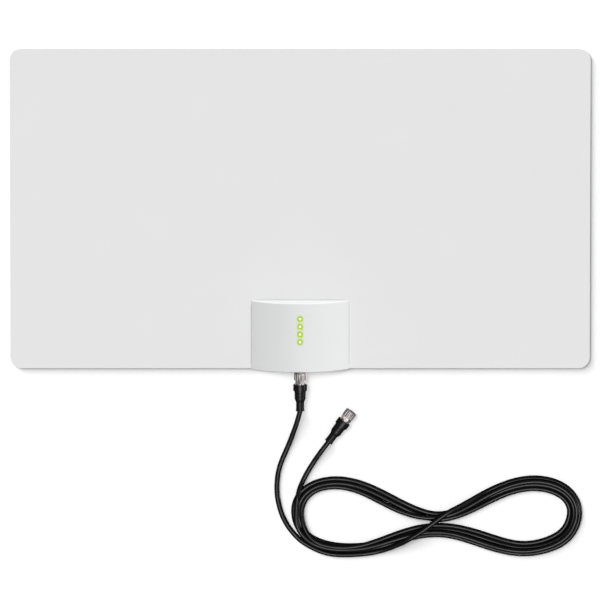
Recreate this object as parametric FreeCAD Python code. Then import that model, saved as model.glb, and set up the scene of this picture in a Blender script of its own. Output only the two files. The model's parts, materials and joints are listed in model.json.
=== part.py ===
import FreeCAD, Part
import math
import os
from FreeCAD import Vector

# Flat indoor television antenna lying on its back, face up, in millimetres.
# +X runs along the sheet, +Y up the sheet and +Z out of its face.
# The origin is the centre of the rear cover's back face, which rests on z = 0.

# Sheet: two films with the foil conductor laminated between them.
sheet_width = 546.0
sheet_height = 305.0
sheet_corner = 10.5
film_thickness = 0.4
foil_thickness = 0.1
foil_margin = 20.0
foil_gap = 20.0
foil_strip = 23.0
feed_width = 8.0
feed_x = 14.0
feed_inset = 18.85
feed_window = 3.4

# Housing: a bowed front cover and a flat rear cover that clamp the sheet.
cover_width = 92.0
cover_length = 65.7
cover_wall = 2.0
crown_height = 19.3
side_height = 2.1
side_round = 3.0
end_round = 0.8
cover_overhang = 0.5
rear_thickness = 2.2
rear_inset = 0.6
rear_corner = 2.5
rear_round = 0.7

# Screws: four join the covers through the sheet, two hold the board.
screw_radius = 1.05
screw_play = 0.05
screw_length = 6.0
head_radius = 2.2
head_height = 1.2
head_recess = 1.3
recess_play = 0.2
head_round = 0.4
cross_width = 0.6
cross_span = 2.6
cross_depth = 0.6
boss_radius = 2.9
boss_inset_x = 9.5
boss_inset_y = 7.85
passage_play = 0.3
pilot_spare = 0.5
board_screw_x = 24.0
board_screw_y = 16.0
board_screw_length = 5.0

# Circuit board and what stands on it.
board_clearance = 3.6
board_top_edge = 25.0
board_bottom_edge = -27.5
board_lift = 3.0
board_thickness = 1.6
board_corner = 1.0
can_width = 16.0
can_length = 22.0
can_height = 4.5
can_wall = 0.3
can_x = -18.0
can_y = -4.0
chip_width = 4.0
chip_height = 0.9
clip_thickness = 0.25
clip_width = 3.0
clip_base = 5.2
clip_foot = 1.8

# Signal lamps in a row up the middle, and the clear moulding that shows them.
lamp_count = 4
lamp_first_y = 18.35
lamp_pitch = 7.4
lamp_length = 3.2
lamp_width = 1.6
lamp_height = 1.1
guide_radius = 2.7
guide_play = 0.05
stem_radius = 2.0
stem_gap = 0.3
web_width = 8.0
web_thickness = 1.2
web_overlap = 3.6
web_gap = 0.1

# Threaded jack in the housing's lower wall.
jack_height = 6.5
jack_radius = 4.7
jack_reach = 8.3
jack_bore = 3.25
jack_bore_depth = 12.0
jack_back_bore = 1.6
jack_block_width = 11.0
jack_block_height = 10.5
jack_block_length = 10.85
jack_hole_play = 0.3
jack_tab_width = 2.5
jack_tab_length = 5.0
jack_tab_height = 1.5
jack_tab_setback = 2.0
jack_nut_flats = 11.0
jack_nut_thickness = 2.2
insulator_recess = 0.6
contact_radius = 1.05
contact_recess = 1.0
contact_tail = 3.0
contact_post = 0.5
notch_play = 0.2

# Screw-on plug, the same at both ends of the lead.
nut_radius = 5.7
nut_grip_length = 7.0
nut_flutes = 16
flute_radius = 0.9
flute_depth = 0.4
nut_hex_flats = 9.0
nut_hex_length = 3.1
nut_bore_depth = 6.6
thread_play = 0.1
running_play = 0.05
end_play = 0.1
flange_thickness = 0.8
flange_play = 0.3
neck_radius = 3.45
ring_radius = 4.5
ring_length = 1.1
crimp_radius = 3.2
crimp_length = 7.7
core_radius = 1.95
fit_play = 0.05
pin_radius = 0.4
pin_reach = 0.5
collar_radius = 6.45
collar_length = 5.7
collar_round = 0.5
body_front_radius = 5.4
body_rear_radius = 5.15
body_length = 8.6
groove_count = 3
groove_width = 0.9
groove_depth = 0.35
shoulder_length = 2.4
sleeve_radius = 3.8
sleeve_length = 11.0
flare_radius = 4.05
flare_length = 1.6

# Lead: free stretches, and the loose hank that takes up the rest.
cord_diameter = 4.8
far_mouth_x = 48.6
far_mouth_y = -73.2
far_heading = (0.6, 0.8, 0.0)
first_run = 11.0
last_run = 10.0
hank_height = 9.0
hank_round = 1.5
hank_tip = 0.8
arc_share = 0.45

# Circles that the hank is laid around: centre x, centre y, outer radius, radius of the open loop.
left_end = (30.3, -174.7, 38.8, 26.3)
left_shoulder = (49.0, -176.0, 38.2, 25.6)
right_end = (227.8, -174.3, 38.2, 24.4)
right_shoulder = (208.5, -175.0, 38.2, 24.4)
waist_x = 130.8
waist_top = -170.3
waist_bottom = -194.2
waist_radius = 53.0
left_tip = (121.0, -181.1)
right_tip = (135.1, -180.8)

# Hand-chosen points of the lead between the plugs and the hank.
lead_points = [(-4.8, -97.0, 6.4), (-11.5, -110.0, 3.2), (-17.6, -122.5, 2.4),
               (-21.3, -136.5, 2.4), (-21.9, -151.5, 2.4), (-19.8, -163.8, 2.4),
               (-15.6, -174.3, 2.4), (-10.1, -183.3, 2.4)]
tail_points = [(-0.2, -146.7, 2.4), (5.2, -135.0, 2.4), (13.0, -121.8, 3.6)]
lead_apex = (1.5, -193.0)
tail_apex = (-2.0, -158.0)

# Levels and places worked out from the sizes above.
close = 0.01
foil_bottom = rear_thickness + film_thickness
foil_top = foil_bottom + foil_thickness
sheet_front = foil_bottom + film_thickness
sheet_bottom_edge = cover_overhang - cover_length / 2
sheet_top_edge = sheet_bottom_edge + sheet_height
sheet_middle = (sheet_bottom_edge + sheet_top_edge) / 2
crown_z = sheet_front + crown_height
crown_rise = crown_height - side_height
crown_radius = (cover_width ** 2 / 4 + crown_rise ** 2) / (2 * crown_rise)
crown_centre_z = crown_z - crown_radius
boss_spots = [(i * (cover_width / 2 - boss_inset_x), j * (cover_length / 2 - boss_inset_y))
              for i in (-1, 1) for j in (-1, 1)]
board_spots = [(i * board_screw_x, board_screw_y) for i in (-1, 1)]
feed_y = feed_inset - cover_length / 2
feed_spots = [(i * feed_x, feed_y) for i in (-1, 1)]
board_width = cover_width - 2 * (boss_inset_x + boss_radius + board_clearance)
board_bottom = sheet_front + board_lift
board_top = board_bottom + board_thickness
lamp_places = [lamp_first_y - lamp_pitch * i for i in range(lamp_count)]
lamp_top = board_top + lamp_height
jack_z = sheet_front + jack_height
jack_wall_y = -cover_length / 2
jack_inner_y = jack_wall_y + cover_wall
jack_end_y = jack_wall_y - jack_reach
jack_rear_y = jack_inner_y + jack_block_length
nut_bore = jack_radius + thread_play
nut_length = nut_grip_length + nut_hex_length
ferrule_front = nut_bore_depth - end_play - flange_thickness
ring_start = nut_length + end_play
boot_start = ring_start + ring_length
crimp_end = boot_start + crimp_length
plug_length = boot_start + collar_length + body_length + sleeve_length
near_mouth = Vector(0, jack_end_y + ferrule_front, jack_z)
near_heading = Vector(0, 1, 0)
far_mouth = Vector(far_mouth_x, far_mouth_y, collar_radius)
far_direction = Vector(*far_heading)


def plate(width, length, corner, bottom, thickness, middle_y=0.0):
    """A flat plate with rounded corners in plan."""
    box = Part.makeBox(width, length, thickness,
                       Vector(-width / 2, middle_y - length / 2, bottom))
    upright = [e for e in box.Edges if abs(e.tangentAt(e.FirstParameter).z) > 0.9]
    return box.makeFillet(corner, upright)


def post(x, y, bottom, top, radius):
    """An upright round post."""
    return Part.makeCylinder(radius, top - bottom, Vector(x, y, bottom))


def drill(shape, spots, radius, bottom, top):
    """Upright round holes at the given places."""
    for x, y in spots:
        shape = shape.cut(post(x, y, bottom, top, radius))
    return shape


def lathe(points):
    """A solid turned about the Z axis from points of (radius, height)."""
    corners = [Vector(r, 0, z) for r, z in points]
    wire = Part.makePolygon(corners + corners[:1])
    return Part.Face(wire).revolve(Vector(), Vector(0, 0, 1), 360)


def hexagon(flats, bottom, top):
    """A six-sided bar about the Z axis, with flats facing +X and -X."""
    corner = flats / math.sqrt(3)
    turns = [math.radians(60 * i + 30) for i in range(6)]
    points = [Vector(corner * math.cos(a), corner * math.sin(a), bottom) for a in turns]
    face = Part.Face(Part.makePolygon(points + points[:1]))
    return face.extrude(Vector(0, 0, top - bottom))


def along(shape, mouth, heading):
    """Lays a piece that was built up the Z axis with its mouth at `mouth`, opening along `heading`."""
    turn = FreeCAD.Rotation(Vector(0, 0, 1), heading.negative())
    placed = shape.copy()
    placed.Placement = FreeCAD.Placement(mouth, turn)
    return placed


def bow_profile(inset, rounding):
    """The housing's cross-section: low upright sides and one bowed arc, `inset` inside the outside."""
    half = cover_width / 2 - inset
    radius = crown_radius - inset
    if rounding:
        inner = Vector(half - rounding, 0, crown_centre_z
                       + math.sqrt((radius - rounding) ** 2 - (half - rounding) ** 2))
        outward = inner - Vector(0, 0, crown_centre_z)
        touch = Vector(0, 0, crown_centre_z) + outward * (radius / (radius - rounding))
        wall_top = Vector(half, 0, inner.z)
        between = (touch + wall_top) * 0.5 - inner
        middle = inner + between * (rounding / between.Length)
    else:
        touch = Vector(half, 0, crown_centre_z + math.sqrt(radius ** 2 - half ** 2))
        wall_top = touch

    def flip(point):
        return Vector(-point.x, 0, point.z)

    foot = Vector(half, 0, sheet_front)
    edges = [Part.LineSegment(flip(foot), foot), Part.LineSegment(foot, wall_top)]
    if rounding:
        edges.append(Part.Arc(wall_top, middle, touch))
    edges.append(Part.Arc(touch, Vector(0, 0, crown_centre_z + radius), flip(touch)))
    if rounding:
        edges.append(Part.Arc(flip(touch), flip(middle), flip(wall_top)))
    edges.append(Part.LineSegment(flip(wall_top), flip(foot)))
    return Part.Face(Part.Wire([e.toShape() for e in edges]))


def bowed_block(inset, rounding):
    """The bowed cross-section carried along Y, `inset` short of each end wall's outside."""
    face = bow_profile(inset, rounding)
    face.translate(Vector(0, inset - cover_length / 2, 0))
    return face.extrude(Vector(0, cover_length - 2 * inset, 0))


def cover_outside():
    """The front cover's outer form, with softened rims at its two ends."""
    block = bowed_block(0.0, side_round)
    ends = [e for e in block.Edges
            if abs(abs(e.CenterOfMass.y) - cover_length / 2) < close
            and e.BoundBox.ZMax > sheet_front + close]
    return block.makeFillet(end_round, ends)


def front_cover():
    """The bowed shell with its screw bosses, lamp holes and jack hole."""
    outside = cover_outside()
    shell = outside.cut(bowed_block(cover_wall, 0.0))
    for x, y in boss_spots:
        shell = shell.fuse(post(x, y, sheet_front, crown_z, boss_radius).common(outside))
    for x, y in board_spots:
        shell = shell.fuse(post(x, y, board_top, crown_z, boss_radius).common(outside))
    hole = screw_radius + screw_play
    shell = drill(shell, boss_spots, hole, sheet_front,
                  head_recess + screw_length + pilot_spare)
    shell = drill(shell, board_spots, hole, board_top,
                  board_bottom + board_screw_length + pilot_spare)
    lamps = [(0, y) for y in lamp_places]
    shell = drill(shell, lamps, guide_radius + guide_play, lamp_top, crown_z + cover_wall)
    passage = Part.makeCylinder(jack_radius + jack_hole_play, 2 * cover_wall,
                                Vector(0, jack_wall_y - cover_wall / 2, jack_z), Vector(0, 1, 0))
    return shell.cut(passage).removeSplitter()


def rear_cover():
    """The flat back plate with sunk screw holes."""
    body = plate(cover_width - 2 * rear_inset, cover_length - 2 * rear_inset,
                 rear_corner, 0.0, rear_thickness)
    rim = [e for e in body.Edges if e.BoundBox.ZMax < close]
    body = body.makeFillet(rear_round, rim)
    body = drill(body, boss_spots, screw_radius + passage_play, 0.0, rear_thickness)
    return drill(body, boss_spots, head_radius + recess_play, 0.0, head_recess)


def screw(x, y, seat, length):
    """A cross-recessed pan-head screw driven up from below, its head under `seat`."""
    body = post(x, y, seat - head_height, seat, head_radius)
    rim = [e for e in body.Edges if e.BoundBox.ZMax < seat - head_height / 2
           and e.BoundBox.ZLength < close]
    body = body.makeFillet(head_round, rim)
    for width, depth in ((cross_span, cross_width), (cross_width, cross_span)):
        slot = Part.makeBox(width, depth, cross_depth,
                            Vector(x - width / 2, y - depth / 2, seat - head_height))
        body = body.cut(slot)
    return body.fuse(post(x, y, seat, seat + length, screw_radius)).removeSplitter()


def cover_screws():
    """The four screws that clamp the covers on the sheet."""
    return Part.makeCompound([screw(x, y, head_recess, screw_length) for x, y in boss_spots])


def board_screws():
    """The two screws that hold the board under the front cover."""
    return Part.makeCompound([screw(x, y, board_bottom, board_screw_length)
                              for x, y in board_spots])


def antenna_foil():
    """Two mirrored conductor loops, each with a strip down to its feed pad."""
    near_x = foil_gap / 2
    far_x = sheet_width / 2 - foil_margin
    low_y = cover_length / 2 + foil_margin
    high_y = sheet_top_edge - foil_margin
    halves = []
    for side in (-1, 1):
        loop = Part.makeBox(far_x - near_x, high_y - low_y, foil_thickness,
                            Vector(near_x, low_y, foil_bottom))
        opening = Part.makeBox(far_x - near_x - 2 * foil_strip, high_y - low_y - 2 * foil_strip,
                               foil_thickness, Vector(near_x + foil_strip, low_y + foil_strip,
                                                      foil_bottom))
        strip_low = feed_y - feed_width / 2
        strip = Part.makeBox(feed_width, low_y - strip_low, foil_thickness,
                             Vector(feed_x - feed_width / 2, strip_low, foil_bottom))
        half = loop.cut(opening).fuse(strip).removeSplitter()
        if side < 0:
            half = half.mirror(Vector(), Vector(1, 0, 0))
        halves.append(half)
    return Part.makeCompound(halves)


def film(bottom):
    """One film of the sheet, drilled for the cover screws."""
    body = plate(sheet_width, sheet_height, sheet_corner, bottom, film_thickness, sheet_middle)
    return drill(body, boss_spots, screw_radius + passage_play, bottom, bottom + film_thickness)


def front_film():
    """The upper film, recessed for the foil and open over the two feed pads."""
    body = film(foil_bottom).cut(antenna_foil())
    return drill(body, feed_spots, feed_window, foil_bottom, sheet_front)


def circuit_board():
    """The board, notched for the jack and drilled for its screws and contact."""
    length = board_top_edge - board_bottom_edge
    body = plate(board_width, length, board_corner, board_bottom, board_thickness,
                 (board_top_edge + board_bottom_edge) / 2)
    half = jack_block_width / 2 + notch_play
    notch_end = jack_rear_y + notch_play
    notch = Part.makeBox(2 * half, notch_end - board_bottom_edge, board_thickness,
                         Vector(-half, board_bottom_edge, board_bottom))
    body = drill(body.cut(notch), board_spots, screw_radius + passage_play,
                 board_bottom, board_top)
    return drill(body, [(0, jack_rear_y + contact_tail - contact_post)],
                 contact_post + passage_play, board_bottom, board_top)


def shield_can():
    """A drawn metal lid over the amplifier, open towards the board."""
    outer = plate(can_width, can_length, 2 * can_wall, board_top, can_height, can_y)
    inner = plate(can_width - 2 * can_wall, can_length - 2 * can_wall, can_wall,
                  board_top, can_height - can_wall, can_y)
    body = outer.cut(inner)
    body.translate(Vector(can_x, 0, 0))
    return body


def amplifier_chip():
    """The amplifier's flat square package."""
    return Part.makeBox(chip_width, chip_width, chip_height,
                        Vector(can_x - chip_width / 2, can_y - chip_width / 2, board_top))


def feed_clips():
    """Two bent leaf springs from the board's underside to the feed pads."""
    thick = clip_thickness
    lean = clip_base / 2
    outline = [(lean, board_bottom), (-lean, board_bottom), (0, foil_top),
               (clip_foot, foil_top), (clip_foot, foil_top + thick), (thick, foil_top + thick),
               (2 * thick - lean, board_bottom - thick), (lean, board_bottom - thick)]
    clips = []
    for x, y in feed_spots:
        points = [Vector(x - clip_width / 2, y + dy, z) for dy, z in outline]
        face = Part.Face(Part.makePolygon(points + points[:1]))
        clips.append(face.extrude(Vector(clip_width, 0, 0)))
    return Part.makeCompound(clips)


def signal_lamps():
    """The row of surface lamps on the board."""
    return Part.makeCompound([Part.makeBox(lamp_width, lamp_length, lamp_height,
                                           Vector(-lamp_width / 2, y - lamp_length / 2, board_top))
                              for y in lamp_places])


def light_guide():
    """One clear moulding: a web under the crown, a flush head and a stem for each lamp."""
    web_top = crown_centre_z + math.sqrt((crown_radius - cover_wall) ** 2
                                         - web_width ** 2 / 4) - web_gap
    web_low = web_top - web_thickness
    last_y = lamp_places[-1]
    body = Part.makeBox(web_width, lamp_first_y - last_y + 2 * web_overlap, web_thickness,
                        Vector(-web_width / 2, last_y - web_overlap, web_low))
    outside = cover_outside()
    for y in lamp_places:
        head = post(0, y, web_low, crown_z + cover_wall, guide_radius).common(outside)
        stem = post(0, y, lamp_top + stem_gap, web_low, stem_radius)
        body = body.fuse(head).fuse(stem)
    return body.removeSplitter()


def jack_bar(radius, start, end):
    """A round bar on the jack's axis between two places along Y."""
    return Part.makeCylinder(radius, end - start, Vector(0, start, jack_z), Vector(0, 1, 0))


def jack_body():
    """The jack: a barrel through the wall and a block that sits on the board by two tabs."""
    block = Part.makeBox(jack_block_width, jack_block_length, jack_block_height,
                         Vector(-jack_block_width / 2, jack_inner_y,
                                jack_z - jack_block_height / 2))
    body = block.fuse(jack_bar(jack_radius, jack_end_y, jack_inner_y))
    tabs = Part.makeBox(jack_block_width + 2 * jack_tab_width, jack_tab_length, jack_tab_height,
                        Vector(-jack_block_width / 2 - jack_tab_width,
                               jack_rear_y - jack_tab_setback - jack_tab_length, board_top))
    body = body.fuse(tabs)
    body = body.cut(jack_bar(jack_bore, jack_end_y, jack_end_y + jack_bore_depth))
    return body.cut(jack_bar(jack_back_bore, jack_end_y, jack_rear_y)).removeSplitter()


def jack_nut():
    """The hexagon nut that clamps the jack on the housing wall."""
    body = hexagon(jack_nut_flats, 0.0, jack_nut_thickness)
    body = body.cut(post(0, 0, 0, jack_nut_thickness, jack_radius + running_play))
    return along(body, Vector(0, jack_wall_y, jack_z), near_heading)


def jack_insulator():
    """The plastic plug inside the jack's barrel."""
    body = jack_bar(jack_bore - fit_play, jack_end_y + insulator_recess,
                    jack_end_y + jack_bore_depth)
    return body.cut(jack_bar(contact_radius + fit_play, jack_end_y, jack_rear_y))


def jack_contact():
    """The jack's centre tube, with a post down through the board."""
    tail_y = jack_rear_y + contact_tail
    body = jack_bar(contact_radius, jack_end_y + contact_recess, tail_y)
    leg = post(0, tail_y - contact_post, board_bottom, jack_z, contact_post)
    body = body.fuse(leg)
    return body.cut(jack_bar(pin_radius + fit_play, jack_end_y, jack_rear_y)).removeSplitter()


def coupling_nut():
    """The plug's captive nut: a fluted grip and a hexagon, open at the mouth."""
    grip = post(0, 0, 0, nut_grip_length, nut_radius)
    reach = nut_radius + flute_radius - flute_depth
    for i in range(nut_flutes):
        angle = 2 * math.pi * i / nut_flutes
        grip = grip.cut(post(reach * math.cos(angle), reach * math.sin(angle), 0,
                             nut_grip_length, flute_radius))
    body = grip.fuse(hexagon(nut_hex_flats, nut_grip_length, nut_length))
    body = body.cut(post(0, 0, 0, nut_bore_depth, nut_bore))
    return body.cut(post(0, 0, 0, nut_length, neck_radius + running_play)).removeSplitter()


def ferrule():
    """The plug's metal sleeve: a flange inside the nut, a neck, a ring and a crimped tail."""
    bore = core_radius + fit_play
    flange = nut_bore - flange_play
    flange_end = ferrule_front + flange_thickness
    return lathe([(bore, ferrule_front), (flange, ferrule_front), (flange, flange_end),
                  (neck_radius, flange_end), (neck_radius, ring_start),
                  (ring_radius, ring_start), (ring_radius, boot_start),
                  (crimp_radius, boot_start), (crimp_radius, crimp_end), (bore, crimp_end)])


def plug_core():
    """The white insulation of the lead, carried up to the ferrule's front."""
    hole = pin_radius + fit_play
    return lathe([(hole, ferrule_front), (core_radius, ferrule_front),
                  (core_radius, crimp_end), (hole, crimp_end)])


def centre_pin():
    """The lead's bare centre wire, with a tapered tip just past the nut's mouth."""
    return lathe([(0, -pin_reach), (pin_radius / 2, -pin_reach), (pin_radius, -pin_reach + pin_radius),
                  (pin_radius, crimp_end), (0, crimp_end)])


def boot():
    """The moulded strain relief: a collar, a ringed body, a shoulder and a flared sleeve."""
    cavity = crimp_radius + fit_play
    collar_end = boot_start + collar_length
    body_end = collar_end + body_length
    outline = [(cavity, boot_start), (collar_radius - collar_round, boot_start),
               (collar_radius, boot_start + collar_round), (collar_radius, collar_end - collar_round),
               (collar_radius - collar_round, collar_end)]
    pitch = body_length / groove_count
    slope = (body_rear_radius - body_front_radius) / body_length
    for i in range(groove_count):
        rib_start = collar_end + pitch * i
        groove_start = rib_start + pitch - groove_width
        front = body_front_radius + slope * pitch * i
        back = front + slope * (pitch - groove_width)
        outline += [(front, rib_start), (back, groove_start), (back - groove_depth, groove_start),
                    (back - groove_depth, rib_start + pitch)]
    outline += [(sleeve_radius, body_end + shoulder_length), (sleeve_radius, plug_length - flare_length),
                (flare_radius, plug_length - flare_length / 2), (flare_radius, plug_length),
                (0, plug_length), (0, crimp_end + fit_play), (cavity, crimp_end + fit_play)]
    return lathe(outline)


def cord_tube(name, points):
    """A round tube along straight runs joined by tangent arcs, each as large as its runs allow."""
    corners = [Vector(*p) for p in points]
    edges = []
    radii = []
    start = corners[0]
    for before, corner, after in zip(corners, corners[1:], corners[2:]):
        back = before - corner
        ahead = after - corner
        cut = arc_share * min(back.Length, ahead.Length)
        half_turn = (math.pi - back.getAngle(ahead)) / 2
        radii.append(cut / math.tan(half_turn))
        into = corner + back * (cut / back.Length)
        out = corner + ahead * (cut / ahead.Length)
        inward = (into + out) * 0.5 - corner
        depth = radii[-1] / math.cos(half_turn) - radii[-1]
        middle = corner + inward * (depth / inward.Length)
        edges += [Part.LineSegment(start, into).toShape(), Part.Arc(into, middle, out).toShape()]
        start = out
    edges.append(Part.LineSegment(start, corners[-1]).toShape())
    path = Part.Wire(edges)
    rim = Part.Wire(Part.Circle(corners[0], corners[1] - corners[0], cord_diameter / 2).toShape())
    tube = path.makePipeShell([rim], True, False)
    section = math.pi * cord_diameter ** 2 / 4
    print(name, "arc radii", [round(r, 1) for r in radii], "length", round(path.Length, 1),
          "volume over section times length", round(tube.Volume / (section * path.Length), 4))
    return tube


def belt(circles):
    """A closed outline round circles of (x, y, radius): a negative radius is passed on its far side."""
    links = []
    for (ax, ay, ar), (bx, by, br) in zip(circles, circles[1:] + circles[:1]):
        gap = math.hypot(bx - ax, by - ay)
        turn = math.atan2(by - ay, bx - ax) - math.asin((br - ar) / gap)
        side = Vector(-math.sin(turn), math.cos(turn), 0)
        links.append((Vector(ax, ay, 0) - side * ar, Vector(bx, by, 0) - side * br))
    edges = []
    for (x, y, radius), arrive, leave in zip(circles, links[-1:] + links[:-1], links):
        centre = Vector(x, y, 0)
        begin = arrive[1]
        end = leave[0]
        first = math.atan2(begin.y - y, begin.x - x)
        last = math.atan2(end.y - y, end.x - x)
        sweep = (last - first) % (2 * math.pi)
        if radius < 0:
            sweep -= 2 * math.pi
        halfway = first + sweep / 2
        middle = centre + Vector(math.cos(halfway), math.sin(halfway), 0) * abs(radius)
        edges += [Part.Arc(begin, middle, end).toShape(), Part.LineSegment(end, leave[1]).toShape()]
    return Part.Face(Part.Wire(edges))


def hank_stub(near, far, apex):
    """A wedge from the hank to the flat end of a free stretch, which meets it face to face."""
    end = Vector(near[0], near[1], 0)
    heading = Vector(far[0] - near[0], far[1] - near[1], 0).normalize()
    side = Vector(-heading.y, heading.x, 0) * (cord_diameter / 2)
    points = [end + side, end - side, Vector(apex[0], apex[1], 0)]
    return Part.Face(Part.makePolygon(points + points[:1])).extrude(Vector(0, 0, cord_diameter))


def cord_hank():
    """The laid-up loops as one solid: a waisted outline with two open loops."""
    upper_waist = (waist_x, waist_top + waist_radius, -waist_radius)
    lower_waist = (waist_x, waist_bottom - waist_radius, -waist_radius)
    outer = [c[:3] for c in (right_shoulder, left_shoulder, left_end, left_shoulder,
                             right_shoulder, right_end)]
    outer.insert(1, upper_waist)
    outer.insert(5, lower_waist)
    rise = Vector(0, 0, hank_height)
    body = belt(outer).extrude(rise)
    for shoulder, end, tip in ((left_shoulder, left_end, left_tip),
                               (right_shoulder, right_end, right_tip)):
        circles = [(c[0], c[1], c[3]) for c in (shoulder, end, shoulder)] + [(*tip, hank_tip)]
        body = body.cut(belt(circles).extrude(rise))
    top = [e for e in body.Edges if e.BoundBox.ZMin > hank_height - close]
    body = body.makeFillet(hank_round, top)
    body = body.fuse(hank_stub(lead_points[-1], lead_points[-2], lead_apex))
    return body.fuse(hank_stub(tail_points[0], tail_points[1], tail_apex)).removeSplitter()


def cord_lead():
    """The free stretch from the near plug down to the hank."""
    start = near_mouth - near_heading * plug_length
    return cord_tube("cord_lead", [tuple(start), tuple(start - near_heading * first_run)] + lead_points)


def cord_tail():
    """The free stretch from the hank up to the far plug."""
    end = far_mouth - far_direction * plug_length
    return cord_tube("cord_tail", tail_points + [tuple(end - far_direction * last_run), tuple(end)])


def plug(prefix, mouth, heading):
    """The five pieces of one plug."""
    pieces = {"coupling_nut": coupling_nut(), "ferrule": ferrule(), "core": plug_core(),
              "centre_pin": centre_pin(), "boot": boot()}
    return {prefix + "_" + name: along(shape, mouth, heading) for name, shape in pieces.items()}


nodes = {
    "front_film": front_film(),
    "antenna_foil": antenna_foil(),
    "rear_film": film(rear_thickness),
    "front_cover": front_cover(),
    "rear_cover": rear_cover(),
    "cover_screws": cover_screws(),
    "circuit_board": circuit_board(),
    "board_screws": board_screws(),
    "shield_can": shield_can(),
    "amplifier_chip": amplifier_chip(),
    "feed_clips": feed_clips(),
    "signal_lamps": signal_lamps(),
    "light_guide": light_guide(),
    "jack_body": jack_body(),
    "jack_nut": jack_nut(),
    "jack_insulator": jack_insulator(),
    "jack_contact": jack_contact(),
    "cord_lead": cord_lead(),
    "cord_hank": cord_hank(),
    "cord_tail": cord_tail(),
}
nodes.update(plug("near", near_mouth, near_heading))
nodes.update(plug("far", far_mouth, far_direction))

os.makedirs("parts", exist_ok=True)
for name, shape in nodes.items():
    shape.exportStep("parts/" + name + ".step")
    print(name, "solids", len(shape.Solids), "valid", shape.isValid(), "volume", round(shape.Volume, 1))
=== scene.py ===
# %% [markdown]
# # A flat indoor antenna, dressed for its picture
# The imported part arrives as a fixed frame: thirty named pieces at their real size, in metres, on three
# bodies. Most pieces keep their solid and only get a finish. The lead becomes one smooth spline, and the
# nuts and boots of its two plugs are made again with a thread, chamfers and soft moulded edges.

# %% Load the frame
import json
import math

import bmesh
import bpy
import numpy as np
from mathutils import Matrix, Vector


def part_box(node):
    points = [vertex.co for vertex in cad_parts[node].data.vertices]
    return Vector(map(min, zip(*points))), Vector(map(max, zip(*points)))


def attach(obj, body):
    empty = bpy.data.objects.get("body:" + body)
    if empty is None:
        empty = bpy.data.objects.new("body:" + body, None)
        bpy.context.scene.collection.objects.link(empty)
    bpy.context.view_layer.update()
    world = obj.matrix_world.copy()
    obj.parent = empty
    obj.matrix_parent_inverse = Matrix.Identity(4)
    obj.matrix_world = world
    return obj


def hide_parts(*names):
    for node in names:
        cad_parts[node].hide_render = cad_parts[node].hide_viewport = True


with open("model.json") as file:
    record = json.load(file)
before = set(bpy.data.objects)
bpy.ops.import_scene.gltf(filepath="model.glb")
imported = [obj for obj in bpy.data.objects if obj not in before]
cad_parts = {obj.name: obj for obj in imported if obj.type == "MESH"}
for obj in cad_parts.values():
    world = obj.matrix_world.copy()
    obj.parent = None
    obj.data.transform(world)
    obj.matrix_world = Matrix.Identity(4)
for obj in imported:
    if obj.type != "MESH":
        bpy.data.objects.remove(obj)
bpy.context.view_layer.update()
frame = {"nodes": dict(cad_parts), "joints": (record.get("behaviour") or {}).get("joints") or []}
nodes = frame["nodes"]
mm = 0.001

# %% [markdown]
# ## The camera
# The picture looks down on the sheet, leaning about ten degrees towards its upper edge, and its parallel
# edges stay parallel. An orthographic camera would do that too, but the other views keep the camera's
# type and find their distance from its lens. So this is a perspective camera with a very long lens, far
# away: the distance that makes the frame as wide as the picture follows from the lens and the sensor.

# %% Place the camera
lean_angle = math.radians(10.35)
frame_width = 565.2 * mm
aim = Vector((-0.1, 33.05, 3.0)) * mm

camera_data = bpy.data.cameras.new("long_lens")
camera_data.lens = 1000.0
camera_data.sensor_width = 36.0
camera_distance = frame_width * camera_data.lens / camera_data.sensor_width
camera_data.clip_end = 2 * camera_distance
camera = bpy.data.objects.new("camera", camera_data)
camera.location = aim + camera_distance * Vector((0, math.sin(lean_angle), math.cos(lean_angle)))
camera.rotation_euler = (-lean_angle, 0, 0)
bpy.context.scene.collection.objects.link(camera)
bpy.context.scene.camera = camera
print("camera stands", round(camera_distance, 2), "m away")

# %% [markdown]
# ## The lead
# A coaxial lead is a stiff round cord that cannot stretch, so its length decides how it lies. Here it
# leaves the near plug, dips to the floor, runs along the left of a loose waisted hank, climbs over the
# waist, goes round the hank and comes out again to the far plug. A mesh tube would need many
# rings. A NURBS curve needs only the points that a hand would lay down, and it rounds every bend.
# The free stretches are such points. The crossing has a long low hump with its top over the waist.

# %% Points of the free stretches
cord_diameter = 4.8 * mm
lead_route = np.array([
    (0.0, -72.05, 9.5), (-1.0, -76.0, 9.3), (-3.0, -83.3, 8.2), (-5.6, -91.3, 6.4), (-8.4, -99.2, 4.7),
    (-11.4, -107.1, 3.4), (-14.8, -114.9, 2.7), (-18.0, -122.7, 2.4), (-20.3, -130.4, 2.4),
    (-21.5, -138.0, 2.4), (-22.0, -145.7, 2.4), (-21.8, -153.3, 2.4), (-20.6, -161.0, 2.4),
    (-18.7, -168.7, 2.4), (-15.9, -176.3, 2.4), (-11.7, -184.0, 2.4), (-5.7, -191.8, 2.4)]) * mm
crossing_route = np.array([
    (0.4, -198.0, 2.4), (8.3, -203.2, 2.4), (19.1, -208.5, 2.4), (30.5, -211.4, 2.4),
    (41.8, -211.8, 2.4), (53.1, -211.4, 2.4), (64.5, -210.4, 2.4), (75.8, -208.0, 2.6),
    (87.1, -203.7, 6.0), (98.7, -197.9, 9.0), (106.8, -192.9, 10.8), (115.5, -187.2, 11.5),
    (122.1, -182.2, 11.6), (131.3, -175.1, 11.6), (140.9, -168.4, 11.2), (148.9, -164.8, 9.5),
    (160.7, -158.7, 6.8), (171.9, -152.7, 4.2), (183.0, -147.1, 2.7)]) * mm
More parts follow.
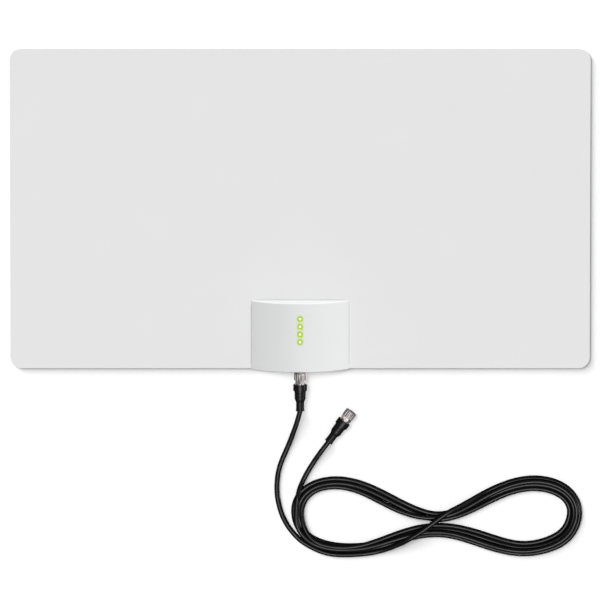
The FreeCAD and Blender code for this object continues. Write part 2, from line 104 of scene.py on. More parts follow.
tail_route = np.array([
    (-3.2, -160.3, 6.6), (-1.9, -153.2, 6.0), (-0.2, -146.7, 3.8), (5.2, -135.0, 2.4),
    (13.0, -121.8, 3.4), (20.64, -110.48, 6.45), (26.64, -102.48, 6.45)]) * mm
print("free points", len(lead_route), "lead,", len(crossing_route), "crossing,", len(tail_route), "tail")

# %% [markdown]
# ## The hank's path
# Every turn of the hank follows the same waisted loop, like a peanut in plan. One formula gives it: the
# way along is a cosine, and the way across is a sine times a half-height that is small at the waist and
# large in the two lobes. The direction out of the loop comes from a small step along it.

# %% The waisted loop
hank_middle = 128.4 * mm
hank_reach = 130.7 * mm
hank_level = -173.3 * mm
waist_dip = 8.0 * mm
hank_skew = 2.3 * mm
lobe_bias = 0.05
small_step = 0.01
half_heights = np.array([90.0, -173.7, 141.0, 6.5]) * mm


def waisted_loop(angle):
    """x is a cosine about the middle. y is a level that dips at the waist, plus a sine times a
    half-height, which is a cubic of the squared cosine and a little larger in the left lobe."""
    along = np.cos(angle)
    waist = 1 - along ** 2
    half = (1 - lobe_bias * along) * np.polyval(half_heights, along ** 2)
    level = hank_level - waist_dip * waist ** 3 + hank_skew * along * waist
    return np.stack([hank_middle + hank_reach * along, level + np.sin(angle) * half], axis=-1)


def outward(angle):
    """The unit vector out of the loop: a small step along the loop, turned a quarter turn to the right."""
    step = waisted_loop(angle + small_step) - waisted_loop(angle - small_step)
    normal = np.stack([step[:, 1], -step[:, 0]], axis=-1)
    return normal / np.linalg.norm(normal, axis=1, keepdims=True)


circle = np.linspace(0, 2 * math.pi, 400)
loop_length = np.linalg.norm(np.diff(waisted_loop(circle), axis=0), axis=1).sum()
print("one turn is", round(loop_length, 3), "m round")

# %% [markdown]
# ## The turns
# Four turns lie in the hank, three side by side on the floor and one in the groove on top of them. The
# bundle that they make is wider in some places than in others, so its two edges are given at stations
# round the loop, in millimetres from the path. Each turn has a place between them, from 0 at the inner
# edge to 1 at the outer one, and a layer. Where the lead joins the lower left, the turns make room for
# it. A loop over the turns reads all that, and lets the middle ones wander a little, as a hand would.

# %% Wind the turns
stations = np.radians([*range(90, -251, -20), -260, -270])
outer_edge = np.array([4.8, 8.1, 7.7, 8.7, 8.2, 6.8, 8.4, 8.7, 8.0, 6.4, 8.3, 5.3, 6.9, 7.2, 7.6, 7.2, 6.2,
                       7.0, 7.2, 4.8]) * mm
inner_edge = np.array([-6.4, -6.2, -7.5, -6.5, -6.0, -8.2, -7.0, -5.9, -8.2, -7.4, -7.8, -8.2, -6.4, -6.3,
                       -5.4, -5.0, -6.6, -7.2, -6.8, -6.4]) * mm
turn_places = np.array([
    [*[1] * 10, 0.68, 0.5, 0.5, 0.75, 1, 1, 1, 1, 0.97, 0.88],
    [0.88, 0.45, *[0.42] * 8, 0.28, 0, 0, 0.3, 0.5, 0.5, 0.48, 0.47, 0.5, 0],
    [*[0] * 11, 0.15, 0.25, 0, 0, 0, 0, 0, 0.12, 0.5],
    [0.5, *[0.7] * 8, 0.6, 0.38, 0.4, 0.6, *[0.7] * 7]])
turn_layers = np.array([
    [0] * 20,
    [*[0] * 13, 0.2, 0.3, 0.55, 0.4, 0, 0, 0],
    [*[0] * 9, 0.1, 0.7, 1, 1, 0.6, 0, 0, 0, 0.3, 0.8, 0.9],
    [0.9, *[1] * 13, *[1.2] * 6]])
turn_starts = np.radians([56, 90, 90, 90])
turn_ends = np.radians([-270, -270, -270, -183])
points_per_turn = 48
layer_pitch = 0.88 * cord_diameter
wander = 0.05
wander_waves = 3
wander_shift = 2.1

turns = []
for i, (start, end) in enumerate(zip(turn_starts, turn_ends)):
    count = round(points_per_turn * (start - end) / (2 * math.pi))
    angle = np.linspace(start, end, count, endpoint=False)
    inner = np.interp(-angle, -stations, inner_edge) + cord_diameter / 2
    outer = np.interp(-angle, -stations, outer_edge) - cord_diameter / 2
    place = np.interp(-angle, -stations, turn_places[i])
    sway = np.sin(wander_waves * angle + wander_shift * i)
    place = place + wander * 4 * place * (1 - place) * sway
    layer = np.interp(-angle, -stations, turn_layers[i])
    flat = waisted_loop(angle) + outward(angle) * (inner + place * (outer - inner))[:, None]
    height = cord_diameter / 2 + layer * layer_pitch
    turns.append(np.column_stack([flat, height]))
print("turns wound with", [len(turn) for turn in turns], "points")

# %% [markdown]
# ## One spline from plug to plug
# All the points go into a single open NURBS spline. Its order of three makes it a chain of parabolas,
# and its end points are clamped, so it starts and stops exactly at the boots. Both are set after the
# points are in, because Blender limits the order by the points that a spline has. The round section is
# the curve's own bevel. The cord's radius is kept on the points, with a bevel of one, because a curve's
# box is measured with it. A copy without bevel is made into a mesh of the centreline and removed again.

# %% Make the lead
lead_points = np.concatenate([lead_route, crossing_route, *turns, tail_route])
lead_curve = bpy.data.curves.new("lead", "CURVE")
lead_curve.dimensions = "3D"
lead_spline = lead_curve.splines.new("NURBS")
lead_spline.points.add(len(lead_points) - 1)
lead_spline.points.foreach_set("co", np.column_stack([lead_points, np.ones(len(lead_points))]).ravel())
lead_spline.points.foreach_set("radius", np.full(len(lead_points), cord_diameter / 2))
lead_spline.order_u = 3
lead_spline.use_endpoint_u = True
lead_curve.resolution_u = 6

bare_lead = bpy.data.objects.new("bare_lead", lead_curve)
bare_mesh = bpy.data.meshes.new_from_object(bare_lead)
bpy.data.meshes.remove(bare_mesh)
bpy.data.objects.remove(bare_lead)

lead_curve.bevel_depth = 1.0
lead_curve.bevel_resolution = 6
lead_curve.use_fill_caps = True
lead = bpy.data.objects.new("lead", lead_curve)
bpy.context.scene.collection.objects.link(lead)
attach(lead, "antenna")
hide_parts("cord_lead", "cord_hank", "cord_tail")

# %% [markdown]
# ## Surfaces from grids
# The turned and moulded pieces of a plug are all rings of points stacked along an axis. A grid of points
# with rows along the profile and columns round the axis holds any of them, also a fluted or threaded one.
# The grid closes round the axis by rolling the index array. Rows that shrink to a point are merged, so
# poles are closed, and the sign of the volume tells whether the faces point outwards.

# %% Grid to mesh
merge_distance = 1e-7
sharp_angle = math.radians(32)


def skin(name, grid, ring=False):
    """A mesh of quads over grid points (rows, columns, 3), closed round the columns, and round the rows
    too where `ring` is set. The volume is a sixth of the sum of triple products over the triangles."""
    rows, columns = grid.shape[:2]
    index = np.arange(rows * columns).reshape(rows, columns)
    below = np.roll(index, -1, axis=0)
    quads = np.stack([index, np.roll(index, -1, axis=1), np.roll(below, -1, axis=1), below], axis=-1)
    quads = (quads if ring else quads[:-1]).reshape(-1, 4)
    points = grid.reshape(-1, 3)
    a, b, c, d = (points[quads[:, i]] - points.mean(axis=0) for i in range(4))
    volume = ((np.cross(a, b) * c).sum() + (np.cross(a, c) * d).sum()) / 6
    mesh = bpy.data.meshes.new(name)
    mesh.from_pydata(points, [], quads if volume > 0 else quads[:, ::-1])
    work = bmesh.new()
    work.from_mesh(mesh)
    bmesh.ops.remove_doubles(work, verts=work.verts, dist=merge_distance)
    work.to_mesh(mesh)
    work.free()
    mesh.shade_smooth()
    mesh.set_sharp_from_angle(angle=sharp_angle)
    piece = bpy.data.objects.new(name, mesh)
    bpy.context.scene.collection.objects.link(piece)
    print(name, "faces", len(mesh.polygons), "volume", round(abs(volume) * 1e9, 1), "mm3")
    return piece


def on_axis(radius, height, angle):
    """Grid points at each radius, height and angle, about the Z axis."""
    radius, height, angle = np.broadcast_arrays(radius, height, angle)
    return np.stack([radius * np.cos(angle), radius * np.sin(angle), height], axis=-1)


def lay(grid, joint):
    """Turns a grid from up the Z axis to away from the plug's mouth, and moves it to that mouth.
    Both come from the joint that the plug's nut turns on."""
    turn = Vector((0, 0, 1)).rotation_difference(-Vector(joint["axis"])).to_matrix()
    return grid @ np.array(turn).T + np.array(joint["pos_m"])


joints = {joint["child"]: joint for joint in frame["joints"]}
plugs = {"near": joints["near_nut"], "far": joints["far_nut"]}
print("plugs at", {side: joint["pos_m"] for side, joint in plugs.items()})

# %% [markdown]
# ## The coupling nuts
# The nut that screws the plug on is turned brass with a nickel coat: a grip with sixteen round flutes,
# a hexagon for a spanner and a fine thread inside. Its measures are in millimetres, with heights from the
# mouth. The rows say at which heights the grip and the hexagon have rings of points.

# %% Measures of the nuts
nut_radius = 5.7
grip_length = 7.0
grip_rows = (2.0, 3.5, 5.0)
flute_count = 16
flute_radius = 0.9
flute_depth = 0.4
points_per_flute = 15
hex_flats = 9.0
hex_rows = (7.6, 8.4, 9.2, 9.5, 9.8)
hex_end = 10.1
hex_end_radius = 4.72
hex_end_slope = 1.1
bore_radius = 4.8
bore_depth = 6.6
neck_radius = 3.5
neck_bevel = 0.2
thread_pitch = 0.794
thread_depth = 0.24
thread_rows = 72
thread_start = 6.5
ridge_slope = 1.7
ridge_root = 0.35
lip_flare = 0.36
chamfer = 0.4
half_chamfer = 0.2
nut_angles = np.linspace(0, 2 * math.pi, flute_count * points_per_flute, endpoint=False)
print("each ring of a nut has", len(nut_angles), "points")

# %% [markdown]
# ## Turning the nuts
# Booleans would cut flutes and a thread with ragged edges. Instead the radius is worked out for every
# angle and height: the near side of each flute's circle, the flat of a hexagon, or a ridge that climbs one
# pitch a turn, each held under a chamfer's cone.

# %% Turn the nuts


def fluted(angle):
    """The grip's radius: the near side of a flute's circle where an angle meets one, or the full radius."""
    pitch = 2 * math.pi / flute_count
    away = (angle + pitch / 2) % pitch - pitch / 2
    reach = nut_radius + flute_radius - flute_depth
    chord = flute_radius ** 2 - (reach * np.sin(away)) ** 2
    near_side = reach * np.cos(away) - np.sqrt(np.maximum(chord, 0))
    return np.where(chord > 0, np.minimum(near_side, nut_radius), nut_radius)


def six_sided(angle):
    """A hexagon's radius: half its flats over the cosine of the angle from the nearest flat's middle."""
    away = (angle + math.pi / 6) % (math.pi / 3) - math.pi / 6
    return hex_flats / 2 / np.cos(away)


def nut_grid():
    """The nut's section as a closed ring of rows: grip, hexagon, rear face, neck, shoulder and thread."""
    angle = nut_angles[None, :]
    grip = np.array([0.0, half_chamfer, chamfer, *grip_rows, grip_length - chamfer,
                     grip_length - half_chamfer, grip_length])[:, None]
    ends = np.maximum(chamfer - grip, 0) + np.maximum(grip - grip_length + chamfer, 0)
    grip_r = np.minimum(fluted(angle), nut_radius - ends)
    hexagon = np.array([grip_length, *hex_rows, hex_end])[:, None]
    hexagon_r = np.minimum(six_sided(angle), hex_end_radius + hex_end_slope * (hex_end - hexagon))
    inside = np.array([hex_end, hex_end - neck_bevel, bore_depth, bore_depth])[:, None]
    inside_r = np.array([neck_radius + neck_bevel, neck_radius, neck_radius, bore_radius])[:, None]
    thread = np.linspace(thread_start, chamfer, thread_rows)[:, None]
    phase = (thread / thread_pitch - angle / (2 * math.pi)) % 1
    ridge = np.clip(ridge_slope * np.abs(2 * phase - 1) - ridge_root, 0, 1)
    thread_r = bore_radius + thread_depth * ridge
    lip = np.array([half_chamfer, 0.0])[:, None]
    lip_r = np.array([bore_radius + thread_depth, bore_radius + lip_flare])[:, None]
    blocks = [(grip_r, grip), (hexagon_r, hexagon), (inside_r, inside), (thread_r, thread), (lip_r, lip)]
    return np.concatenate([on_axis(r, z, angle) for r, z in blocks]) * mm


nuts = {}
for side, joint in plugs.items():
    nuts[side] = skin(side + "_nut", lay(nut_grid(), joint), ring=True)
    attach(nuts[side], side + "_nut")
    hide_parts(side + "_coupling_nut")

# %% [markdown]
# ## The boots
# Each plug ends in a moulded strain relief: a collar to hold, a ringed body with a shoulder, and a sleeve
# that flexes with the lead. Its measures are in millimetres too, with heights from the plug's mouth. Only
# a rib's groove starts at a share of the rib's pitch.

# %% Measures of the boots
boot_front = 11.3
collar_radius = 6.45
collar_end = 17.0
body_end = 25.6
rib_count = 3
rib_radius = 5.4
rib_taper = 0.08
groove_start = 0.69
groove_depth = 0.35
shoulder_end = 28.0
sleeve_radius = 3.8
ring_count = 4
ring_first = 28.7
ring_pitch = 1.6
ring_depth = 0.14
ring_slope = 0.12
ring_width = 0.6
rim_start = 35.0
rim_crest = 35.6
rim_radius = 4.05
boot_end = 36.6
crimp_radius = 3.25
crimp_end = 19.05
soft_edge = 0.22
nearly_half = 0.49
boot_angles = np.linspace(0, 2 * math.pi, 96, endpoint=False)[None, :]
print("each ring of a boot has", boot_angles.size, "points")

# %% [markdown]
# ## Moulding the boots
# Soft black plastic has no sharp corner. So the profile is given by its corners only, and every corner is
# then rounded with a parabola between points just before and after it.

# %% Mould the boots


def softened(corners, size, steps=5):
    """Rounds a profile's inner corners: each becomes a parabola from `size` before to `size` after it,
    or to half of a run that is shorter than two sizes."""
    before, corner, after = corners[:-2], corners[1:-1], corners[2:]
    back, ahead = before - corner, after - corner
    back_run = np.linalg.norm(back, axis=1, keepdims=True)
    ahead_run = np.linalg.norm(ahead, axis=1, keepdims=True)
    first = corner + back * np.minimum(size / back_run, nearly_half)
    last = corner + ahead * np.minimum(size / ahead_run, nearly_half)
    t = np.linspace(0, 1, steps)[None, :, None]
    bends = (1 - t) ** 2 * first[:, None] + 2 * t * (1 - t) * corner[:, None] + t ** 2 * last[:, None]
    return np.concatenate([corners[:1], bends.reshape(-1, 2), corners[-1:]])


def boot_corners():
    """Corners of radius and height: the cavity over the crimp, the collar, three ribs, a shoulder, and the
    sleeve with shallow rings and a rim."""
    rib_pitch = (body_end - collar_end) / rib_count
    rib = np.array([(0, 0), (0, groove_start), (-groove_depth, groove_start), (-groove_depth, 1)])
    step = np.arange(rib_count)
    rib_start = np.column_stack([rib_radius - rib_taper * step, collar_end + rib_pitch * step])
    ribs = (rib_start[:, None] + rib * (1, rib_pitch)).reshape(-1, 2)
    ring = np.array([(0, 0), (-ring_depth, ring_slope), (-ring_depth, ring_width - ring_slope),
                     (0, ring_width)])
    ring_heights = ring_first + ring_pitch * np.arange(ring_count)
    ring_start = np.column_stack([np.full(ring_count, sleeve_radius), ring_heights])
    rings = (ring_start[:, None] + ring).reshape(-1, 2)
    front = [(0, crimp_end), (crimp_radius, crimp_end), (crimp_radius, boot_front),
             (collar_radius, boot_front), (collar_radius, collar_end)]
    rim = [(sleeve_radius, rim_start), (rim_radius, rim_crest), (rim_radius, boot_end), (0, boot_end)]
    return np.concatenate([front, ribs, [(sleeve_radius, shoulder_end)], rings, rim])


boot_profile = softened(boot_corners(), soft_edge)
boots = {}
for side, joint in plugs.items():
    grid = on_axis(boot_profile[:, :1], boot_profile[:, 1:], boot_angles) * mm
    boots[side] = skin(side + "_boot_moulding", lay(grid, joint))
    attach(boots[side], "antenna")
    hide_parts(side + "_boot")

# %% [markdown]
# ## What is on the lead
# The pieces that the lead carries are listed: both plugs, with the new nuts and boots and the solids that
# stay.

kept_pieces = ("ferrule", "core", "centre_pin")
on_lead = [nodes[side + "_" + piece] for side in plugs for piece in kept_pieces]
on_lead += [*nuts.values(), *boots.values()]
print("on the lead:", len(on_lead), "pieces")

# %% [markdown]
# ## Writing shaders as sums
# A finish is a small network of nodes, and sums of nodes are hard to read as a list of links. So one
# class wraps an output socket, and plus, minus and times add the Math nodes. Colours go through a Mix
# node, because a Math node would turn them grey. Its `node` method adds any other node: type first, then
# settings, then the values or links of its sockets.

# %% A socket that can be added up


def feed(socket, value):
    """Links a wrapped output to an input socket, or sets the input's own value."""
    if isinstance(value, Output):
        socket.id_data.links.new(value.socket, socket)
    else:
        socket.default_value = value


class Output:
    """An output socket. Arithmetic on it adds Math nodes to its tree."""

    def __init__(self, socket):
        self.socket = socket

    def node(self, kind, settings=None, inputs=None, output=0):
        made = self.socket.id_data.nodes.new("ShaderNode" + kind)
        for name, value in (settings or {}).items():
            setattr(made, name, value)
        for name, value in (inputs or {}).items():
            feed(made.inputs[name], value)
        return Output(made.outputs[output])

    def math(self, operation, *values):
        return self.node("Math", {"operation": operation}, dict(enumerate(values)))

    def __add__(self, other):
        return self.math("ADD", self, other)

    def __radd__(self, other):
        return self.math("ADD", other, self)

    def __sub__(self, other):
        return self.math("SUBTRACT", self, other)

    def __rsub__(self, other):
        return self.math("SUBTRACT", other, self)

    def __mul__(self, other):
        return self.math("MULTIPLY", self, other)

    def __rmul__(self, other):
        return self.math("MULTIPLY", other, self)

    def noise(self, size, detail=2.0):
        """Soft random values round a half, with features of about `size` metres."""
        return self.node("TexNoise", None, {"Vector": self, "Scale": 1 / size, "Detail": detail})

    def ramp(self, low, high):
        """A smooth step from 0 at `low` to 1 at `high`."""
        return self.node("MapRange", {"interpolation_type": "SMOOTHSTEP"},
                         {"Value": self, "From Min": low, "From Max": high})

    def mix(self, first, second):
        """The first colour where this value is 0 and the second where it is 1."""
        return self.node("Mix", {"data_type": "RGBA"}, {0: self, 6: first, 7: second}, 2)

    def bump(self, strength, depth):
        """Normals that follow this height, with hollows `depth` metres deep."""
        return self.node("Bump", None, {"Strength": strength, "Distance": depth, "Height": self})


print("shader sums ready")

# %% [markdown]
# ## Starting a finish
# Colours are easiest to judge as they stand on a screen, but a shader takes linear light, so one helper
# converts them. The other makes a material, sets what stays the same all over it, and hands back the
# shader's inputs and the place on the piece, from which all that varies is worked out.

# %% A finish to start from


def tone(red, green, blue):
    """A screen colour of 0 to 255 as the linear colour that a shader takes."""
    share = np.array([red, green, blue]) / 255
    light = np.where(share > 0.04045, ((share + 0.055) / 1.055) ** 2.4, share / 12.92)
    return (*light.tolist(), 1.0)


def finish(name, **constants):
    """A new material with these constants on its shader, and its place on the piece in metres."""
    material = bpy.data.materials.new(name)
    material.use_nodes = True
    tree = material.node_tree
    shader = tree.nodes["Principled BSDF"].inputs
    for socket, value in constants.items():
        shader[socket.replace("_", " ")].default_value = value
    return material, shader, Output(tree.nodes.new("ShaderNodeTexCoord").outputs["Object"])


finishes = {}
print("middle grey on a screen is", round(tone(128, 128, 128)[0], 3), "in linear light")

# %% [markdown]
# ## Sheet
# The sheet is a laminated white film with a fine matt tooth, the same on both faces. A flat grey would
# look like paper cut from the screen. Two noises make it a material: a very faint cloud in the colour,
# as the film's thickness varies, and a tooth under half a millimetre across in the gloss and normals.
# Along the housing's edge, a fine dark line of painted contact shadow is mixed into the colour. It is
# placed by distance from the edge.

# %% White film
housing_half = Vector(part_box("front_cover")[1][:2])
housing_corner = 6 * mm


def across_and_up(place):
    """The x and y of a place as two values."""
    return [place.node("SeparateXYZ", None, {0: place}, axis) for axis in ("X", "Y")]


def away(x, y):
    """The distance of two legs of a right angle."""
    return x.math("SQRT", x * x + y * y)


def from_housing(x, y):
    """The distance outside a rectangle with round corners: that of the parts past its inner rectangle,
    less the corner's radius."""
    past_x = x.math("MAXIMUM", x.math("ABSOLUTE", x) - (housing_half.x - housing_corner), 0.0)
    past_y = y.math("MAXIMUM", y.math("ABSOLUTE", y) - (housing_half.y - housing_corner), 0.0)
    return away(past_x, past_y) - housing_corner


material, shader, place = finish("white_film", Specular_IOR_Level=0.35)
cloud = place.noise(60 * mm)
tooth = place.noise(0.45 * mm, 3.0)
# Painted contact shadow: the film's colour turns grey within a millimetre of the housing's edge.
painted_contact_shadow = 1 - from_housing(*across_and_up(place)).ramp(0.1 * mm, 0.9 * mm)
film = cloud.mix(tone(231, 231, 231), tone(234, 234, 234))
feed(shader["Base Color"], (0.75 * painted_contact_shadow).mix(film, tone(186, 186, 187)))
feed(shader["Roughness"], 0.5 + 0.12 * tooth)
feed(shader["Normal"], tooth.bump(0.12, 0.02 * mm))
finishes["film"] = material
print(material.name, "has", len(material.node_tree.nodes), "nodes")

# %% [markdown]
# ## Housing
# The housing is moulded plastic, brighter and smoother than the film. The mould was spark-eroded, which
# leaves a fine even grain. Round the lamps, the colour leans to green within a few millimetres of their
# row, as a painted glow of the lamps' light. The distance to the row is taken from Object coordinates.

# %% Moulded white plastic
lamp_first = 18.35 * mm
lamp_pitch = 7.4 * mm
lamp_last = lamp_first - 3 * lamp_pitch
material, shader, place = finish("moulded_white", Specular_IOR_Level=0.25)
x, y = across_and_up(place)
beyond = y - y.math("MINIMUM", y.math("MAXIMUM", y, lamp_last), lamp_first)
# Painted glow: within a few millimetres of the lamps, the white turns green.
painted_lamp_glow = 1 - away(x, beyond).ramp(2.2 * mm, 4.6 * mm)
grain = place.noise(0.3 * mm, 3.0)
cloud = place.noise(25 * mm)
plain = cloud.mix(tone(221, 221, 222), tone(223, 224, 224))
feed(shader["Base Color"], (0.6 * painted_lamp_glow).mix(plain, tone(196, 224, 110)))
feed(shader["Roughness"], 0.36 + 0.12 * grain)
feed(shader["Normal"], grain.bump(0.1, 0.015 * mm))
finishes["cover"] = material
print(material.name, "has", len(material.node_tree.nodes), "nodes")

# %% [markdown]
# ## Lamps
# Each lamp is a clear head with a light-emitting chip far below it: white-hot in the middle, green at the
# rim. The four heads are one moulding, so the pattern repeats: y is wrapped to one pitch round the
# nearest lamp, and the distance from its centre picks the colour that it gives off.

# %% Lit heads
material, shader, place = finish("lit_head", Roughness=0.3, Emission_Strength=1.0, Specular_IOR_Level=0.2)
x, y = across_and_up(place)
wrapped = y.math("WRAP", y - lamp_first, lamp_pitch / 2, -lamp_pitch / 2)
radius = away(x, wrapped)
core = 1 - radius.ramp(1.0 * mm, 1.45 * mm)
sparkle = place.noise(0.5 * mm)
rim = sparkle.mix(tone(158, 197, 0), tone(170, 204, 8))
feed(shader["Base Color"], core.mix(tone(10, 14, 2), tone(60, 60, 50)))
feed(shader["Emission Color"], core.mix(rim, tone(255, 252, 238)))
finishes["lamp"] = material
print(material.name, "has", len(material.node_tree.nodes), "nodes")

# %% [markdown]
# ## Bare metals
# Nickel, steel, tin, brass, copper and foil differ in colour and polish, and share their structure: a
# metal whose gloss varies with a fine noise, as a plated or rolled surface does, and whose colour varies
# with a coarser one. One function makes them all, and a table holds what differs.

# %% Metals


def metal(name, dull, bright, gloss, grain_size):
    """A metal between two colours, with roughness from `gloss` to `gloss` plus a fifth."""
    material, shader, place = finish(name, Metallic=1.0)
    tarnish = place.noise(6 * mm, 3.0)
    fine = place.noise(grain_size, 2.0)
    feed(shader["Base Color"], tarnish.ramp(0.35, 0.65).mix(tone(*dull), tone(*bright)))
    feed(shader["Roughness"], gloss + 0.2 * fine)
    feed(shader["Normal"], fine.bump(0.08, 0.01 * mm))
    return material


metals = {
    "nickel": ((150, 144, 142), (184, 177, 175), 0.14, 0.3 * mm),
    "steel": ((140, 141, 144), (168, 168, 170), 0.25, 0.2 * mm),
    "tin": ((178, 180, 182), (202, 203, 204), 0.3, 0.5 * mm),
    "brass": ((176, 146, 84), (206, 178, 112), 0.25, 0.2 * mm),
    "copper": ((184, 120, 84), (212, 150, 112), 0.2, 0.2 * mm),
    "foil": ((196, 198, 200), (218, 219, 221), 0.3, 0.8 * mm),
}
for name, look in metals.items():
    finishes[name] = metal("bare_" + name, *look)
print("metals:", ", ".join(metals))

# %% [markdown]
# ## Plastics and the board
# The boots and the lead are black vinyl. The boots are matt from the mould, and the lead has the closer
# gloss of an extruded jacket, which handling has dulled in patches. The insulation is milky, the chip is
# dull resin and the board is green lacquer over glass cloth. They share a function too: two close
# colours, a grain and a gloss.

# %% Plastics


def plastic(name, dark, light, gloss, grain_size, depth, shine, uneven=0.0):
    """A plastic between two close colours, with roughness round `gloss` and hollows `depth` deep. In
    patches about an inch across, the roughness grows by up to `uneven`."""
    material, shader, place = finish(name, Specular_IOR_Level=shine)
    patch = place.noise(9 * mm, 3.0)
    fine = place.noise(grain_size, 3.0)
    feed(shader["Base Color"], patch.mix(tone(*dark), tone(*light)))
    rough = gloss - 0.06 + 0.12 * fine
    if uneven:
        rough = rough + uneven * place.noise(25 * mm).ramp(0.4, 0.6)
    feed(shader["Roughness"], rough)
    feed(shader["Normal"], fine.bump(0.2, depth))
    return material


plastics = {
    "boot": ((8, 8, 9), (14, 13, 14), 0.3, 0.35 * mm, 0.006 * mm, 0.14),
    "jacket": ((6, 6, 6), (10, 9, 10), 0.12, 0.6 * mm, 0.003 * mm, 0.14, 0.24),
    "insulation": ((222, 220, 212), (236, 234, 228), 0.45, 0.5 * mm, 0.01 * mm, 0.4),
    "resin": ((26, 26, 28), (38, 38, 40), 0.55, 0.1 * mm, 0.01 * mm, 0.4),
    "lacquer": ((20, 84, 48), (32, 108, 62), 0.35, 0.4 * mm, 0.01 * mm, 0.5),
    "diffuser": ((226, 226, 206), (238, 238, 222), 0.4, 0.2 * mm, 0.01 * mm, 0.5),
}
for name, look in plastics.items():
    finishes[name] = plastic(name + "_plastic", *look)
print("plastics:", ", ".join(plastics))

# %% [markdown]
# ## Dress every piece
# A frame's node is never moved or reshaped, but its material may change. The table gives each finish the
# pieces that wear it, and what is new takes its finish the same way.

# %% Hand out the finishes
worn_by = {
    "film": ["front_film", "rear_film"],
    "cover": ["front_cover", "rear_cover"],
    "lamp": ["light_guide"],
    "steel": ["cover_screws", "board_screws"],
    "lacquer": ["circuit_board"],
    "tin": ["shield_can"],
    "resin": ["amplifier_chip"],
    "diffuser": ["signal_lamps"],
    "brass": ["feed_clips", "jack_contact"],
    "foil": ["antenna_foil"],
    "nickel": ["jack_body", "jack_nut", "near_ferrule", "far_ferrule"],
    "insulation": ["jack_insulator", "near_core", "far_core"],
    "copper": ["near_centre_pin", "far_centre_pin"],
}


def dress(piece, look):
    """Gives a piece one material and no other."""
    piece.data.materials.clear()
    piece.data.materials.append(finishes[look])


for look, names in worn_by.items():
    for name in names:
        dress(nodes[name], look)
for side in plugs:
    dress(nuts[side], "nickel")
    dress(boots[side], "boot")
dress(lead, "jacket")
print("dressed", sum(map(len, worn_by.values())), "nodes and", 2 * len(plugs) + 1, "new pieces")

# %% [markdown]
# ## Floor and light
# The floor is a plain pale sheet just under the part. A glossy black cord would mirror a white floor on
# both its sides and turn grey, so glossy rays pass through the floor.

# %% Lay the floor
floor_reach = 30.0
floor_gap = 0.2 * mm
floor_corners = floor_reach * np.array([(-1, -1, 0), (1, -1, 0), (1, 1, 0), (-1, 1, 0)])
floor_corners[:, 2] = -floor_gap
floor_mesh = bpy.data.meshes.new("floor")
floor_mesh.from_pydata(floor_corners, [], [(0, 1, 2, 3)])
floor = bpy.data.objects.new("floor", floor_mesh)
bpy.context.scene.collection.objects.link(floor)
floor.visible_glossy = False
material, shader, place = finish("pale_floor", Roughness=0.9, Specular_IOR_Level=0.0)
feed(shader["Base Color"], place.noise(0.5).mix((0.68, 0.68, 0.68, 1), (0.69, 0.69, 0.69, 1)))
floor_mesh.materials.append(material)
print("floor reaches", floor_reach, "m")

# %% [markdown]
# ## Far lamps
# Far lamps give every place the same level, as a large studio does. A near lamp would make one end of the
# sheet brighter than the other. Light linking tells each lamp what it lights and what shades it, and both
# are given as collections that serve no other purpose.

# %% A lamp and what it reaches


def group(name, members):
    """A collection that is only used to say what a lamp lights or what shades it."""
    made = bpy.data.collections.new(name)
    for member in members:
        made.objects.link(member)
    return made


def soft_lamp(name, lean, bearing, level, width, lights=None, shades=None, mirrored=True):
    """A far lamp that leans from overhead towards a bearing from +X, in degrees. It gives a level face
    `level` of the light that shows a colour as written, from a disc `width` degrees wide. Where
    `mirrored` is off, it lights a surface without a glare on it."""
    tilt, turn = math.radians(lean), math.radians(bearing)
    towards = Vector((math.sin(tilt) * math.cos(turn), math.sin(tilt) * math.sin(turn), math.cos(tilt)))
    data = bpy.data.lights.new(name, "SUN")
    data.energy = math.pi * level / abs(math.cos(tilt))
    data.angle = math.radians(width)
    lamp = bpy.data.objects.new(name, data)
    lamp.rotation_euler = towards.to_track_quat("Z", "Y").to_euler()
    lamp.light_linking.receiver_collection = lights
    lamp.light_linking.blocker_collection = shades
    lamp.visible_glossy = mirrored
    bpy.context.scene.collection.objects.link(lamp)
    print(name, "gives", level)


the_floor = group("the_floor", [floor])

# %% [markdown]
# ## Lamps for the part
# One lamp hangs over the lead, a little further to the other side of the upright than the camera, so that
# level and sloping strands show a bright line along their tops. Three hang over the rest, and the nuts'
# own is wide, because their flats would turn white under a small one. One from the right shades the bowed
# housing, and a low one from the sheet's upper edge whitens the housing's upper wall. So low a lamp would
# glare on a flat white sheet seen from its far side, so on white pieces those two leave no mirror image.
# Two more draw the plugs and the nuts' flutes, and a wide one below the metal stands in for the white
# floor that it would mirror.

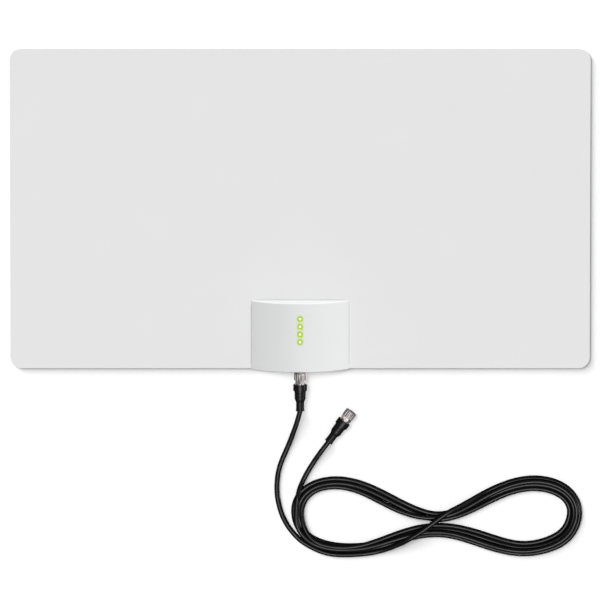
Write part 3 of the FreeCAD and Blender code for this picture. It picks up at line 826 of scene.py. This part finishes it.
# %% Hang the lamps over the part
black_pieces = [lead, *boots.values()]
metal_pieces = [*nuts.values(), *(nodes[name] for name in worn_by["nickel"])]
plug_pieces = [*nuts.values(), *boots.values(), *(nodes[side + "_ferrule"] for side in plugs)]
flat_pieces = [nodes[name] for name in ("front_film", "rear_film", "rear_cover")]
bowed_pieces = [nodes[name] for name in ("front_cover", "light_guide")]
the_lead = group("the_lead", black_pieces)
the_solids = group("the_solids", nodes.values())
the_rest = group("the_rest", [*nodes.values(), *nuts.values()])
the_plugs = group("the_plugs", [*metal_pieces, *black_pieces])
the_housing = group("the_housing", [*bowed_pieces, nodes["rear_cover"]])
the_white = group("the_white", [*flat_pieces, *bowed_pieces])
the_nuts = group("the_nuts", nuts.values())
the_metal = group("the_metal", metal_pieces)
low_things = group("low_things", [*flat_pieces, lead, *plug_pieces])
soft_lamp("over_lead", 16, 270, 1.0, 36, the_lead)
soft_lamp("over_sheet", 5, 90, 0.252, 24, the_solids)
soft_lamp("over_nuts", 5, 90, 0.22, 44, the_nuts)
soft_lamp("from_lower", 40, 270, 0.14, 60, the_rest)
soft_lamp("from_right", 80, 0, 0.066, 24, the_white, low_things, mirrored=False)
soft_lamp("right_of_plugs", 80, 0, 0.056, 24, the_plugs, low_things)
soft_lamp("right_of_nuts", 58, 352, 0.03, 30, the_nuts)
soft_lamp("under_metal", 180, 0, 0.55, 120, the_metal, the_metal)
soft_lamp("upper_wall", 84, 92, 0.072, 10, the_housing, low_things, mirrored=False)

# %% [markdown]
# ## Lamps for the floor
# Three lamps reach the floor alone, so that it turns white and keeps a short shadow to the lower right of
# what lies on it. One lamp cannot do that for a thin sheet and a tall housing: a low one would stretch the
# housing's shadow, and a high one would lose the sheet's. So the lower a lamp stands, the fewer pieces
# shade it.

# %% Light the floor
flat_things = group("flat_things", flat_pieces)
thin_things = group("thin_things", [*flat_pieces, lead])
soft_lamp("floor_low", 74, 132, 0.32, 28, the_floor, flat_things)
soft_lamp("floor_middle", 50, 132, 0.34, 30, the_floor, thin_things)
soft_lamp("floor_high", 25, 130, 0.42, 20, the_floor)

# %% [markdown]
# ## The sky
# The sky fills all shade. It is brightest overhead and fades towards the horizon, as a room with a white
# ceiling does, so the sides of round things stay darker than their tops.

# %% Fill with sky
sky_top = 0.62
sky_edge = 0.24
world = bpy.data.worlds.new("studio")
world.use_nodes = True
bpy.context.scene.world = world
sky = world.node_tree.nodes["Background"].inputs
heading = Output(world.node_tree.nodes.new("ShaderNodeTexCoord").outputs["Generated"])
upward = heading.node("SeparateXYZ", None, {0: heading}, "Z")
feed(sky["Strength"], upward.math("MAXIMUM", sky_edge + (sky_top - sky_edge) * upward, 0.0))
sky["Color"].default_value = (1, 1, 1, 1)
bpy.context.scene.view_settings.view_transform = "Standard"
print("sky from", sky_edge, "to", sky_top)
